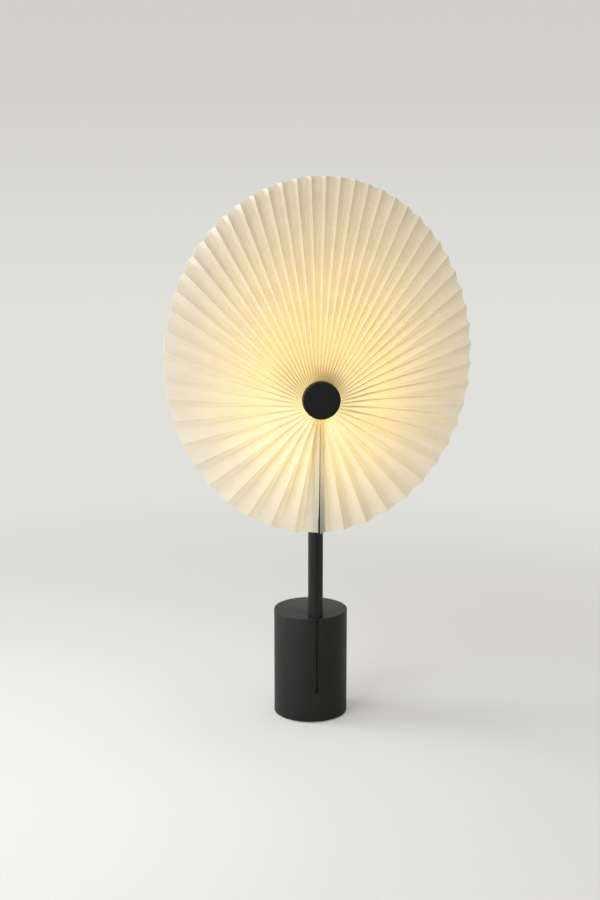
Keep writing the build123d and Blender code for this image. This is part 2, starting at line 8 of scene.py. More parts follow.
import bpy
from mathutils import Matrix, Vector


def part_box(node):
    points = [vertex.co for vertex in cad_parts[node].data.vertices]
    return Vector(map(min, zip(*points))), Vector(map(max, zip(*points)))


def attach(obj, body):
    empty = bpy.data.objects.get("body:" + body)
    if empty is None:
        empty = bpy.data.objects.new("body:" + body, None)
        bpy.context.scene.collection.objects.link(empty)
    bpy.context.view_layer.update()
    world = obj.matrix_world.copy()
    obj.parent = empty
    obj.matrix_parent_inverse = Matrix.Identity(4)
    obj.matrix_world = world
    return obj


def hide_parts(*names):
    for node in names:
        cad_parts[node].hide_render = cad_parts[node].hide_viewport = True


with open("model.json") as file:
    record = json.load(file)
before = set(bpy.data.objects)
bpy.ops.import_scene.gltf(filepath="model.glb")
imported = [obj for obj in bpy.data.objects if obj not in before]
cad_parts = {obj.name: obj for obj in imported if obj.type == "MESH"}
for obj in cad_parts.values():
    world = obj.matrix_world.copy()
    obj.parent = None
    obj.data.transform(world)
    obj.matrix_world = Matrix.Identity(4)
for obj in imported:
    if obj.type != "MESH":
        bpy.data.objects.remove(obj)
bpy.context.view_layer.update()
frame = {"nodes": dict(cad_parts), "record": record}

Colour = tuple[float, float, float]

log = logging.getLogger("lamp")

# Rounding of the copied CAD nodes
MERGE_DISTANCE = 2e-6
FLAT_ANGLE = math.radians(0.4)
EDGE_ANGLE = math.radians(40)
EDGE_SEGMENTS = 2
SMOOTH_ANGLE = math.radians(32)


class Body(Enum):
    """Bodies that the pieces ride on."""

    LAMP = "lamp"
    ROTOR = "rotor"
    KNOB = "knob"


class Grain(Enum):
    """Kinds of fine surface structure."""

    ORANGE_PEEL = "orange_peel"
    BRUSHED = "brushed"


class Graph:
    """Lays nodes and wires into one node tree."""

    def __init__(self, tree: bpy.types.NodeTree) -> None:
        """Keep the tree to work in.

        Args:
            tree: Node tree of a material, the world or a group.
        """
        self.tree = tree

    def node(self, kind: str, **settings: object) -> bpy.types.Node:
        """Add one node.

        Args:
            kind: Type name of the node.
            settings: Node properties to set.

        Returns:
            The new node.
        """
        made = self.tree.nodes.new(kind)
        for name, value in settings.items():
            setattr(made, name, value)
        return made

    def feed(self, target: bpy.types.NodeSocket, source: object) -> None:
        """Wire a socket into an input, or set the input to a plain value.

        Args:
            target: Input socket.
            source: Output socket, number or colour.
        """
        if isinstance(source, bpy.types.NodeSocket):
            self.tree.links.new(source, target)
        else:
            target.default_value = source

    def calc(self, operation: str, *values: object, clamp: bool = False) -> bpy.types.NodeSocket:
        """Add a math node.

        Args:
            operation: Name of the operation.
            values: Its inputs, as sockets or numbers.
            clamp: Whether the result is kept between 0 and 1.

        Returns:
            The result's socket.
        """
        made = self.node("ShaderNodeMath", operation=operation, use_clamp=clamp)
        for socket, value in zip(made.inputs, values):
            self.feed(socket, value)
        return made.outputs[0]

    def blend(self, share: object, first: object, second: object) -> bpy.types.NodeSocket:
        """Mix two colours.

        Args:
            share: Share of the second colour, as a socket or number.
            first: First colour, as a socket or plain colour.
            second: Second colour, as a socket or plain colour.

        Returns:
            The mixed colour's socket.
        """
        made = self.node("ShaderNodeMix", data_type="RGBA")
        inputs = [socket for socket in made.inputs if socket.type == "RGBA"]
        self.feed(made.inputs[0], share)
        for socket, value in zip(inputs, (first, second)):
            self.feed(socket, opaque(value) if isinstance(value, tuple) else value)
        return next(socket for socket in made.outputs if socket.type == "RGBA")

    def stretch(self, value: object, low: float, high: float) -> bpy.types.NodeSocket:
        """Stretch a value's range from low..high to 0..1, clamped and eased.

        Args:
            value: Socket to stretch.
            low: Value that becomes 0.
            high: Value that becomes 1.

        Returns:
            The stretched value's socket.
        """
        made = self.node("ShaderNodeMapRange", interpolation_type="SMOOTHSTEP")
        for label, number in (("Value", value), ("From Min", low), ("From Max", high)):
            self.feed(made.inputs[label], number)
        return made.outputs["Result"]

    def noise(self, scale: object, detail: float = 3.0, place: object = None) -> bpy.types.NodeSocket:
        """Add a noise texture on the object's own coordinates.

        Args:
            scale: Features per metre, as a socket or number.
            detail: Levels of finer noise.
            place: Coordinates to use in place of the plain object coordinates.

        Returns:
            The noise's value socket.
        """
        made = self.node("ShaderNodeTexNoise")
        self.feed(made.inputs["Vector"], place or self.object_place())
        self.feed(made.inputs["Scale"], scale)
        self.feed(made.inputs["Detail"], detail)
        return made.outputs[0]

    def object_place(self) -> bpy.types.NodeSocket:
        """Socket of the object's own coordinates."""
        return self.node("ShaderNodeTexCoord").outputs["Object"]

    def painted(self, layer: str) -> bpy.types.NodeSocket:
        """Socket of a value that is stored at the mesh's points."""
        return self.node("ShaderNodeAttribute", attribute_name=layer).outputs["Fac"]

    def use(self, group: bpy.types.NodeTree, **values: object) -> bpy.types.Node:
        """Place a node group.

        Args:
            group: The group's tree.
            values: Inputs by name, as sockets or numbers.

        Returns:
            The group's node.
        """
        made = self.node("ShaderNodeGroup", node_tree=group)
        for label, value in values.items():
            self.feed(made.inputs[label], value)
        return made


def opaque(colour: Colour) -> tuple[float, float, float, float]:
    """The colour with full opacity."""
    return (*colour, 1.0)


def scaled(colour: Colour, gain: float) -> Colour:
    """The colour made lighter or darker by a factor."""
    return tuple(min(channel * gain, 1.0) for channel in colour)


def smooth_step(low: float, high: float, value: float) -> float:
    """Eased step from 0 at low to 1 at high."""
    share = min(max((value - low) / (high - low), 0.0), 1.0)
    return share * share * (3 - 2 * share)


def select_only(piece: bpy.types.Object) -> None:
    """Make one object the only selected and the active one.

    Args:
        piece: Object to select.
    """
    bpy.ops.object.select_all(action="DESELECT")
    piece.select_set(True)
    bpy.context.view_layer.objects.active = piece


def apply_modifier(piece: bpy.types.Object, kind: str, **settings: object) -> None:
    """Add a modifier to a piece and apply it.

    Args:
        piece: Object that gets the modifier.
        kind: Type name of the modifier.
        settings: Modifier properties to set.
    """
    modifier = piece.modifiers.new(kind.lower(), kind)
    for name, value in settings.items():
        setattr(modifier, name, value)
    select_only(piece)
    bpy.ops.object.modifier_apply(modifier=modifier.name)


class Effects:
    """Surface effects that several finishes share, each a node group made once."""

    GRAIN_SCALE: float = 1500.0
    BROAD_SHARE: float = 0.04
    PEEL_RANGE: tuple[float, float] = (0.3, 0.7)
    BRUSH_DRAW: tuple[float, float, float] = (1.0, 1.0, 0.04)
    BRUSH_RANGE: tuple[float, float] = (0.25, 0.75)
    WEAR_RADIUS: float = 0.0006
    WEAR_RANGE: tuple[float, float] = (0.01, 0.16)
    RUB_SCALE: float = 420.0
    RUB_RANGE: tuple[float, float] = (0.42, 0.68)
    # Lighter film on faces that look up: dust, and on the black coat also a painted sheen of
    # reflected light on the tops
    DUST_AND_SHEEN_SLOPE: tuple[float, float] = (0.4, 1.0)
    DUST_AND_SHEEN_SCALE: float = 240.0
    DUST_AND_SHEEN_RANGE: tuple[float, float] = (-0.1, 0.9)

    def __init__(self) -> None:
        """Make the groups."""
        self.grain = {Grain.ORANGE_PEEL: self._orange_peel(), Grain.BRUSHED: self._brushed()}
        self.wear = self._edge_wear()
        self.dust_and_sheen = self._settled_dust_and_sheen()

    def _group(self, name: str, inputs: dict[str, float], outputs: tuple[str, ...]) -> tuple:
        """Start a group with number sockets.

        Args:
            name: Name of the group.
            inputs: Input names with their first values.
            outputs: Output names.

        Returns:
            The graph, its input node and its output node.
        """
        tree = bpy.data.node_groups.new(name, "ShaderNodeTree")
        for label, value in inputs.items():
            socket = tree.interface.new_socket(label, in_out="INPUT", socket_type="NodeSocketFloat")
            socket.default_value = value
        for label in outputs:
            tree.interface.new_socket(label, in_out="OUTPUT", socket_type="NodeSocketFloat")
        graph = Graph(tree)
        return graph, graph.node("NodeGroupInput"), graph.node("NodeGroupOutput")

    def _orange_peel(self) -> bpy.types.NodeTree:
        """Group of fine pebbled grain with a broad mottling."""
        inputs = {"Scale": self.GRAIN_SCALE}
        graph, given, made = self._group("orange_peel", inputs, ("Height", "Shade"))
        fine = graph.noise(given.outputs["Scale"], detail=2.0)
        broad_scale = graph.calc("MULTIPLY", given.outputs["Scale"], self.BROAD_SHARE)
        broad = graph.noise(broad_scale, detail=4.0)
        graph.feed(made.inputs["Height"], fine)
        graph.feed(made.inputs["Shade"], graph.stretch(broad, *self.PEEL_RANGE))
        return graph.tree

    def _brushed(self) -> bpy.types.NodeTree:
        """Group of fine lines drawn along one direction."""
        inputs = {"Scale": self.GRAIN_SCALE}
        graph, given, made = self._group("brushed", inputs, ("Height", "Shade"))
        turn = graph.node("ShaderNodeMapping")
        graph.feed(turn.inputs["Vector"], graph.object_place())
        turn.inputs["Scale"].default_value = self.BRUSH_DRAW
        lines = graph.noise(given.outputs["Scale"], detail=3.0, place=turn.outputs["Vector"])
        graph.feed(made.inputs["Height"], lines)
        graph.feed(made.inputs["Shade"], graph.stretch(lines, *self.BRUSH_RANGE))
        return graph.tree

    def _edge_wear(self) -> bpy.types.NodeTree:
        """Group that finds edges and breaks them up into small rubbed spots."""
        inputs = {"Radius": self.WEAR_RADIUS, "Amount": 0.5}
        graph, given, made = self._group("edge_wear", inputs, ("Mask",))
        rounded = graph.node("ShaderNodeBevel", samples=4)
        graph.feed(rounded.inputs["Radius"], given.outputs["Radius"])
        likeness = graph.node("ShaderNodeVectorMath", operation="DOT_PRODUCT")
        graph.feed(likeness.inputs[0], rounded.outputs["Normal"])
        graph.feed(likeness.inputs[1], graph.node("ShaderNodeNewGeometry").outputs["Normal"])
        bend = graph.calc("SUBTRACT", 1.0, likeness.outputs["Value"])
        edge = graph.stretch(bend, *self.WEAR_RANGE)
        spots = graph.stretch(graph.noise(self.RUB_SCALE, detail=4.0), *self.RUB_RANGE)
        mask = graph.calc("MULTIPLY", edge, spots)
        graph.feed(made.inputs["Mask"], graph.calc("MULTIPLY", mask, given.outputs["Amount"]))
        return graph.tree

    def _settled_dust_and_sheen(self) -> bpy.types.NodeTree:
        """Group that lays a thin uneven lighter film on faces that look up: dust, and on the black
        coat also a painted sheen of reflected light on the tops.
        """
        graph, given, made = self._group("settled_dust_and_sheen", {"Amount": 0.1}, ("Mask",))
        apart = graph.node("ShaderNodeSeparateXYZ")
        graph.feed(apart.inputs[0], graph.node("ShaderNodeNewGeometry").outputs["Normal"])
        level = graph.stretch(apart.outputs["Z"], *self.DUST_AND_SHEEN_SLOPE)
        patches = graph.stretch(graph.noise(self.DUST_AND_SHEEN_SCALE, detail=6.0), *self.DUST_AND_SHEEN_RANGE)
        mask = graph.calc("MULTIPLY", level, patches)
        graph.feed(made.inputs["Mask"], graph.calc("MULTIPLY", mask, given.outputs["Amount"]))
        return graph.tree


@dataclass(frozen=True)
class Finish:
    """Rigid finish: a colour with grain, mottling, edge wear and a lighter film on faces that look
    up, which is dust and, on the black coat, also a painted sheen of reflected light.
    """

    slot: str
    colour: Colour
    roughness: float
    metallic: float = 0.0
    specular: float = 0.5
    grain: Grain = Grain.ORANGE_PEEL
    grain_scale: float = 1500.0
    grain_depth: float = 0.00003
    mottling: float = 0.08
    gloss_spread: float = 0.08
    wear: float = 0.0
    wear_colour: Colour = (0.16, 0.16, 0.155)
    dust_and_sheen: float = 0.0
    dust_and_sheen_colour: Colour = (0.42, 0.42, 0.41)
    bump_strength: float = 0.6

    def make(self, effects: Effects) -> bpy.types.Material:
        """Build the material.

        Args:
            effects: Shared node groups.

        Returns:
            The finished material.
        """
        material, graph, shader = self.start()
        grain = graph.use(effects.grain[self.grain], Scale=self.grain_scale)
        colour = self.colour_socket(graph, grain.outputs["Shade"])
        rough = graph.calc("MULTIPLY_ADD", grain.outputs["Shade"], self.gloss_spread, self.roughness)
        if self.wear:
            mask = graph.use(effects.wear, Amount=self.wear).outputs["Mask"]
            colour = graph.blend(mask, colour, self.wear_colour)
        # Lighter colour on faces that look up: dust, and on the black coat also a painted sheen of
        # reflected light
        if self.dust_and_sheen:
            mask = graph.use(effects.dust_and_sheen, Amount=self.dust_and_sheen).outputs["Mask"]
            colour = graph.blend(mask, colour, self.dust_and_sheen_colour)
            rough = graph.calc("MULTIPLY_ADD", mask, 1.0 - self.roughness, rough, clamp=True)
        graph.feed(shader.inputs["Base Color"], colour)
        graph.feed(shader.inputs["Roughness"], rough)
        self.add_bump(graph, shader, grain.outputs["Height"])
        return material

    def add_bump(self, graph: Graph, shader: bpy.types.Node, height: bpy.types.NodeSocket) -> None:
        """Let a height roughen the surface.

        Args:
            graph: Graph of the material.
            shader: The material's Principled shader.
            height: Height from 0 to 1.
        """
        bump = graph.node("ShaderNodeBump")
        bump.inputs["Strength"].default_value = self.bump_strength
        bump.inputs["Distance"].default_value = self.grain_depth
        graph.feed(bump.inputs["Height"], height)
        graph.feed(shader.inputs["Normal"], bump.outputs["Normal"])

    def start(self) -> tuple:
        """Start an empty material with its shader.

        Returns:
            The material, its graph and its Principled shader.
        """
        material = bpy.data.materials.new(self.slot)
        material.use_nodes = True
        graph = Graph(material.node_tree)
        shader = material.node_tree.nodes["Principled BSDF"]
        shader.inputs["Metallic"].default_value = self.metallic
        shader.inputs["Specular IOR Level"].default_value = self.specular
        return material, graph, shader

    def colour_socket(self, graph: Graph, shade: bpy.types.NodeSocket) -> bpy.types.NodeSocket:
        """Colour that varies a little over the surface.

        Args:
            graph: Graph of the material.
            shade: Mottling from 0 to 1.

        Returns:
            The colour's socket.
        """
        darker = scaled(self.colour, 1 - self.mottling)
        return graph.blend(shade, darker, scaled(self.colour, 1 + self.mottling))


@dataclass(frozen=True)
class BoardFinish(Finish):
    """Circuit board: solder mask with copper runs showing through as lighter lines."""

    run_colour: Colour = (0.1, 0.34, 0.17)
    run_scale: float = 420.0
    run_edge: tuple[float, float] = (0.06, 0.1)

    def colour_socket(self, graph: Graph, shade: bpy.types.NodeSocket) -> bpy.types.NodeSocket:
        """Solder mask colour with its runs.

        Args:
            graph: Graph of the material.
            shade: Mottling from 0 to 1.

        Returns:
            The colour's socket.
        """
        cells = graph.node("ShaderNodeTexVoronoi", distance="MANHATTAN", feature="DISTANCE_TO_EDGE")
        graph.feed(cells.inputs["Vector"], graph.object_place())
        cells.inputs["Scale"].default_value = self.run_scale
        between = graph.stretch(cells.outputs["Distance"], *self.run_edge)
        runs = graph.calc("SUBTRACT", 1.0, between)
        return graph.blend(runs, super().colour_socket(graph, shade), self.run_colour)


@dataclass(frozen=True)
class LitFinish(Finish):
    """Finish that gives light of its own, strongest on a ring round the hub's axis."""

    light_colour: Colour = (1.0, 0.8, 0.5)
    ring_radius: float = 0.025
    ring_spread: float = 0.02
    low_light: float = 0.45
    ring_height: float = 0.318

    def make(self, effects: Effects) -> bpy.types.Material:
        """Build the material.

        Args:
            effects: Shared node groups.

        Returns:
            The finished material.
        """
        material = super().make(effects)
        graph = Graph(material.node_tree)
        shader = material.node_tree.nodes["Principled BSDF"]
        centre = graph.node("ShaderNodeMapping")
        graph.feed(centre.inputs["Vector"], graph.object_place())
        centre.inputs["Location"].default_value = (0.0, 0.0, -self.ring_height)
        centre.inputs["Scale"].default_value = (1.0, 0.0, 1.0)
        reach = graph.node("ShaderNodeVectorMath", operation="LENGTH")
        graph.feed(reach.inputs[0], centre.outputs["Vector"])
        past_ring = graph.calc("SUBTRACT", reach.outputs["Value"], self.ring_radius)
        share = graph.stretch(graph.calc("ABSOLUTE", past_ring), self.ring_spread, 0.0)
        light = graph.blend(share, scaled(self.light_colour, self.low_light), self.light_colour)
        graph.feed(shader.inputs["Emission Color"], light)
        shader.inputs["Emission Strength"].default_value = 1.0
        return material


@dataclass(frozen=True)
class PaperFinish(Finish):
    """Translucent pleated paper with a painted glow where the light head stands behind it, and
    painted shade and highlights on its folds.
    """

    glow_colour: Colour = (0.98, 0.76, 0.255)
    pale_glow_colour: Colour = (0.98, 0.835, 0.43)
    valley_shade_colour: Colour = (0.36, 0.28, 0.15)
    ridge_highlight_colour: Colour = (0.96, 0.94, 0.89)
    shadow_colour: Colour = (0.4, 0.43, 0.42)
    through: float = 0.5
    fibre_scale: float = 900.0
    fibre_range: tuple[float, float] = (0.3, 0.7)
    cloud_spread: float = 0.06
    bump_strength: float = 0.4

    def make(self, effects: Effects) -> bpy.types.Material:
        """Build the material.

        Args:
            effects: Shared node groups.

        Returns:
            The finished material.
        """
        material, graph, shader = self.start()
        grain = graph.use(effects.grain[self.grain], Scale=self.grain_scale)
        fibres = graph.stretch(graph.noise(self.fibre_scale, detail=6.0), *self.fibre_range)
        colour = self.colour_socket(graph, graph.calc("MULTIPLY", grain.outputs["Shade"], fibres))
        # Painted shade in the valleys, next to the hub and in the stem's shadow, and painted
        # highlights on the ridges, laid over the paper's colour
        painted_shade_and_highlight = {
            "valley": self.valley_shade_colour,
            "ridge": self.ridge_highlight_colour,
            "shadow": self.shadow_colour,
        }
        for layer, painted_colour in painted_shade_and_highlight.items():
            colour = graph.blend(graph.painted(layer), colour, painted_colour)
        graph.feed(shader.inputs["Base Color"], colour)
        rough = graph.calc("MULTIPLY_ADD", fibres, self.gloss_spread, self.roughness)
        graph.feed(shader.inputs["Roughness"], rough)
        cloud = graph.calc("MULTIPLY_ADD", fibres, self.cloud_spread, 1 - self.cloud_spread / 2)
        light = graph.node("ShaderNodeVectorMath", operation="SCALE")
        warmth = graph.blend(graph.painted("pale"), self.glow_colour, self.pale_glow_colour)
        graph.feed(light.inputs[0], warmth)
        graph.feed(light.inputs["Scale"], graph.calc("MULTIPLY", graph.painted("glow"), cloud))
        graph.feed(shader.inputs["Emission Color"], light.outputs["Vector"])
        shader.inputs["Emission Strength"].default_value = 1.0 / (1.0 - self.through)
        self.add_bump(graph, shader, fibres)
        self.let_light_through(graph, shader, colour)
        return material

    def let_light_through(
        self, graph: Graph, shader: bpy.types.Node, colour: bpy.types.NodeSocket
    ) -> None:
        """Mix a share of light from the far side into the paper.

        Args:
            graph: Graph of the material.
            shader: The paper's Principled shader.
            colour: The paper's colour.
        """
        far_light = graph.node("ShaderNodeBsdfTranslucent")
        graph.feed(far_light.inputs["Color"], colour)
        mixed = graph.node("ShaderNodeMixShader")
        mixed.inputs[0].default_value = self.through
        graph.feed(mixed.inputs[1], shader.outputs[0])
        graph.feed(mixed.inputs[2], far_light.outputs[0])
        graph.feed(graph.tree.nodes["Material Output"].inputs["Surface"], mixed.outputs[0])


FINISHES = (
    # On the black coat the lighter film on faces that look up also paints the sheen of reflected
    # light on the base's top
    Finish("black_coat", (0.0105, 0.0106, 0.0102), 0.43, specular=0.3, wear=0.3, dust_and_sheen=0.075),
    Finish("knob_black", (0.007, 0.007, 0.0067), 0.5, specular=0.2, grain_scale=2600.0, wear=0.2),
    Finish("hub_black", (0.018, 0.018, 0.018), 0.55, grain_scale=2200.0, dust_and_sheen=0.03),
    PaperFinish("pleated_sheet", (0.88, 0.845, 0.795), 0.7, specular=0.25, mottling=0.03),
    Finish("steel", (0.56, 0.56, 0.57), 0.3, metallic=1.0, grain=Grain.BRUSHED, wear=0.2,
           wear_colour=(0.75, 0.75, 0.76)),
    Finish("brass", (0.72, 0.53, 0.25), 0.3, metallic=1.0, grain=Grain.BRUSHED, mottling=0.14),
    Finish("soft_rubber", (0.02, 0.02, 0.02), 0.78, specular=0.3, grain_scale=1800.0, dust_and_sheen=0.05),
    Finish("lead_jacket", (0.05, 0.05, 0.05), 0.5, grain_scale=1200.0),
    BoardFinish("board_green", (0.03, 0.17, 0.075), 0.35),
    BoardFinish("light_board_white", (0.86, 0.86, 0.83), 0.4, run_colour=(0.78, 0.78, 0.75)),
    Finish("chip_black", (0.02, 0.02, 0.02), 0.6, grain_scale=3200.0),
    Finish("cradle_plastic", (0.1, 0.1, 0.11), 0.5, grain_scale=2400.0),
    Finish("cell_wrap", (0.08, 0.27, 0.4), 0.32, grain_scale=600.0, mottling=0.12),
    LitFinish("light_yellow", (0.93, 0.76, 0.3), 0.35, light_colour=(1.0, 0.86, 0.5), low_light=0.9),
    LitFinish("opal", (0.9, 0.88, 0.82), 0.4, mottling=0.02),
)


class FinishShelf:
    """All finishes by slot, and the slot of each CAD node."""

    def __init__(self) -> None:
        """Make every material once."""
        effects = Effects()
        self.materials = {finish.slot: finish.make(effects) for finish in FINISHES}
        self.slots = {row["node"]: row["material_slot"] for row in frame["record"]["subparts"]}

    def dress(self, piece: bpy.types.Object, slot: str) -> None:
        """Give a piece the finish of a slot.

        Args:
            piece: Object to dress.
            slot: Name of the record's material slot.
        """
        piece.data.materials.clear()
        piece.data.materials.append(self.materials[slot])

    def dress_node(self, node: str) -> None:
        """Give a CAD node the finish of its own slot.

        Args:
            node: Name of the node.
        """
        self.dress(frame["nodes"][node], self.slots[node])
        log.info("dressed %s", node)


@dataclass
class SubAssembly:
    """Pieces that are built and dressed together."""

    shelf: FinishShelf
    plain_nodes: tuple[str, ...] = ()
    rounded_nodes: dict[str, float] = field(default_factory=dict)
    body: Body = Body.LAMP

    def build(self) -> None:
        """Dress the CAD nodes that stay and round the edges of those that show."""
        for node in self.plain_nodes:
            self.shelf.dress_node(node)
        for node, width in self.rounded_nodes.items():
            self.place(self.rounded_copy(node, width), node)

    def place(self, piece: bpy.types.Object, *nodes: str) -> None:
        """Dress a new piece, set it on its body and let it stand for CAD nodes.

        Args:
            piece: New object.
            nodes: CAD nodes that it stands for, the first of which gives its slot.
        """
        slot = self.shelf.slots[nodes[0]]
        self.shelf.dress(piece, slot)
        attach(piece, self.body.value)
        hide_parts(*nodes)
        log.info("built %s with %d faces", piece.name, len(piece.data.polygons))

    def rounded_copy(self, node: str, width: float) -> bpy.types.Object:
        """Copy a CAD node, merge its triangles and round its sharp edges.

        Args:
            node: Name of the node.
            width: Width of the rounding, in metres.

        Returns:
            The new object.
        """
        piece = bpy.data.objects.new(f"{node}_rounded", frame["nodes"][node].data.copy())
        bpy.context.scene.collection.objects.link(piece)
        select_only(piece)
        bpy.ops.object.mode_set(mode="EDIT")
        bpy.ops.mesh.customdata_custom_splitnormals_clear()
        bpy.ops.mesh.select_all(action="SELECT")
        bpy.ops.mesh.remove_doubles(threshold=MERGE_DISTANCE)
        bpy.ops.mesh.dissolve_limited(angle_limit=FLAT_ANGLE)
        bpy.ops.object.mode_set(mode="OBJECT")
        apply_modifier(piece, "BEVEL", width=width, segments=EDGE_SEGMENTS, limit_method="ANGLE",
                       angle_limit=EDGE_ANGLE, use_clamp_overlap=True)
        bpy.ops.object.shade_smooth_by_angle(angle=SMOOTH_ANGLE)
        return piece


@dataclass
class PleatedShade(SubAssembly):
    """One pleated sheet opened to a full rosette, its two ends meeting below the hub."""

    # Folds and leaves
    pleats: int = 53
    crowding: float = 0.276
    turn: float = math.radians(10.6)
    seam_half_angle: float = math.radians(0.17)
    hub_seam_half_angle: float = math.radians(1.5)
    thickness: float = 0.0003
    hub_radius: float = 0.014
    rows: int = 30
    leaf_stops: tuple[float, ...] = (0.0, 0.05, 0.15, 0.3, 0.48, 0.66, 0.82, 0.94)
    solver_steps: int = 30
    smooth_angle: float = math.radians(38.0)
    ridge_round: float = 0.0001
    valley_round: float = 0.0003
    valley_softness: float = 0.6
    crown_crispness: float = 0.75
    valley_lean: float = 0.1
    upper_lean: float = 0.2
    lean_angle: float = math.radians(40.0)
    fold_wander: float = 0.00008
    depth_wander: float = 0.00012
    tooth: float = 0.0014
    tooth_angle: float = math.radians(19.0)
    tooth_spread: float = math.radians(23.0)
    leaf_bow: float = 0.0003
    seed: int = 11

    # Glow over the sheet
    core_glow: float = 0.18
    rim_glow: float = 0.055
    crown_dim: float = 0.3
    glow_reach: float = 0.7
    low_reach: float = 0.085
    glow_fall: float = 5.0
    inner_dim: float = 0.15
    inner_near: float = 0.03
    inner_far: float = 0.13
    pale_reach: float = 0.065
    back_gain: float = 1.35

    # Painted shade next to the hub, and the stem's painted shadow below it
    hub_dim: float = 0.46
    hub_painted_shade: float = 0.3
    hub_dim_angle: float = math.radians(28.0)
    hub_dim_reach: float = 0.034
    shadow_inner: float = 0.0052
    shadow_outer: float = 0.0068
    shadow_light: float = 1.2
    shadow_painted_shade: float = 0.2
    shadow_grey: float = 0.5
    shadow_grey_start: float = 0.5

    # Painted shade lines in the valleys and painted highlights on the ridges
    valley_power: float = 1.5
    valley_start: float = 0.27
    valley_narrowing: float = 0.5
    valley_width: float = 0.28
    valley_lift: float = 0.12
    valley_dim: float = 0.56
    valley_painted_shade: float = 0.6
    valley_angle: float = math.radians(65.0)
    valley_left: float = 0.47
    valley_least: float = 0.7
    valley_near: float = 0.018
    valley_middle: float = 0.06
    line_near: float = 0.045
    line_far: float = 0.14
    fade_near: float = 0.025
    fade_far: float = 0.105
    ridge_light: float = 0.35

    def __post_init__(self) -> None:
        """Take the sheet's measures from the frame."""
        low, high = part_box("pleated_shade")
        knob_low, knob_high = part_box("knob_cap")
        self.hub_height = (knob_low.z + knob_high.z) / 2
        self.half_width = (high.x - low.x) / 2
        self.half_height = (high.z - low.z) / 2
        self.lift = (high.z + low.z) / 2 - self.hub_height
        self.middle_y = (high.y + low.y) / 2
        self.leaves = 2 * self.pleats
        hub_step = 2 * self.hub_radius * math.sin(math.pi / self.leaves)
        self.leaf_width = math.hypot(high.y - low.y - self.thickness, hub_step)

    def build(self) -> None:
        """Build the sheet and dress it."""
        chance = random.Random(self.seed)
        self.wander = [chance.gauss(0, self.fold_wander) for _ in range(self.leaves + 1)]
        self.sink = [chance.gauss(0, self.depth_wander) for _ in range(self.leaves + 1)]
        self.bows = [chance.gauss(0, self.leaf_bow) for _ in range(self.leaves + 1)]
        self.hub_ends = [self.hub_end(fold) for fold in range(self.leaves + 1)]
        self.rim_ends = [self.rim_end(fold) for fold in range(self.leaves + 1)]
        sheet = self.fold_sheet()
        apply_modifier(sheet, "SOLIDIFY", thickness=self.thickness, offset=0.0)
        bpy.ops.object.shade_smooth_by_angle(angle=self.smooth_angle)
        self.paint_glow(sheet)
        self.place(sheet, "pleated_shade")

    def hub_end(self, fold: int) -> Vector:
        """Place of a fold's start at the hub, across and up from the hub's axis."""
        angle = (math.pi - self.hub_seam_half_angle) * (fold / self.pleats - 1)
        return Vector((math.sin(angle), math.cos(angle))) * self.hub_radius

    def rim_end(self, fold: int) -> Vector:
        """Place of a fold's end on the rim, across and up from the hub's axis.

        Args:
            fold: Number of the fold, counted clockwise from the seam.

        Returns:
            The place in the plane of the rosette.
        """
        mean = (math.pi - self.seam_half_angle) * (fold / self.pleats - 1)
        angle = mean
        for _ in range(self.solver_steps):
            miss = angle + self.crowding * (math.sin(angle - self.turn) - math.sin(self.turn)) - mean
            angle -= miss / (1 + self.crowding * math.cos(angle - self.turn))
        if 0 < fold < self.leaves:
            angle += self.wander[fold] / self.half_width
        up = self.lift + self.half_height * math.cos(angle)
        end = Vector((self.half_width * math.sin(angle), up))
        turned = (math.atan2(end.x, end.y) - self.tooth_angle) / self.tooth_spread
        tooth = self.tooth * math.exp(-(turned**2))
        return end + end.normalized() * (tooth if fold % 2 == 0 else -tooth)

    def plan(self, fold: int, share: float) -> Vector:
        """Place on a fold in the plane of the rosette.

        Args:
            fold: Number of the fold.
            share: Share of the way from hub to rim.

        Returns:
            The place, where a valley leans towards the next ridge, most on the upper right.
        """
        place = self.hub_ends[fold].lerp(self.rim_ends[fold], share)
        if fold % 2 == 0:
            return place
        ahead = self.hub_ends[fold + 1].lerp(self.rim_ends[fold + 1], share)
        upper = max(math.cos(math.atan2(place.x, place.y) - self.lean_angle), 0.0)
        return place.lerp(ahead, 2 * (self.valley_lean + self.upper_lean * upper) * share)

    def pleat_depth(self, fold: int, share: float) -> float:
        """Depth of the pleats at a fold, which keeps the width of the leaves beside it.

        Args:
            fold: Number of the fold.
            share: Share of the way from hub to rim.

        Returns:
            The depth in metres.
        """
        before, after = max(fold - 1, 0), min(fold + 1, self.leaves)
        step = (self.plan(after, share) - self.plan(before, share)).length / (after - before)
        return math.sqrt(max(self.leaf_width**2 - step**2, 0.0))

    def fold_point(self, fold: int, share: float) -> Vector:
        """Place of a fold's line in the lamp's frame, share of the way from hub to rim."""
        flat = self.plan(fold, share)
        side = 1 if fold % 2 == 0 else -1
        depth = self.pleat_depth(fold, share) / 2 + self.sink[fold] * share
        return Vector((flat.x, self.middle_y - side * depth, self.hub_height + flat.y))

    def fold_sheet(self) -> bpy.types.Object:
        """Lay a flat grid into pleats.

        Returns:
            The folded sheet, still without thickness.
        """
        columns = self.leaves * len(self.leaf_stops)
        bpy.ops.object.select_all(action="DESELECT")
        bpy.ops.mesh.primitive_grid_add(x_subdivisions=columns, y_subdivisions=self.rows, size=2)
        sheet = bpy.context.object
        sheet.name = "pleated_sheet"
        lines = {}
        for point in sheet.data.vertices:
            column = round((point.co.x + 1) / 2 * columns)
            row = round((point.co.y + 1) / 2 * self.rows)
            if row not in lines:
                share = row / self.rows
                lines[row] = [self.fold_point(fold, share) for fold in range(self.leaves + 1)]
            point.co = self.leaf_point(lines[row], column, row / self.rows)
        sheet.data.update()
        return sheet

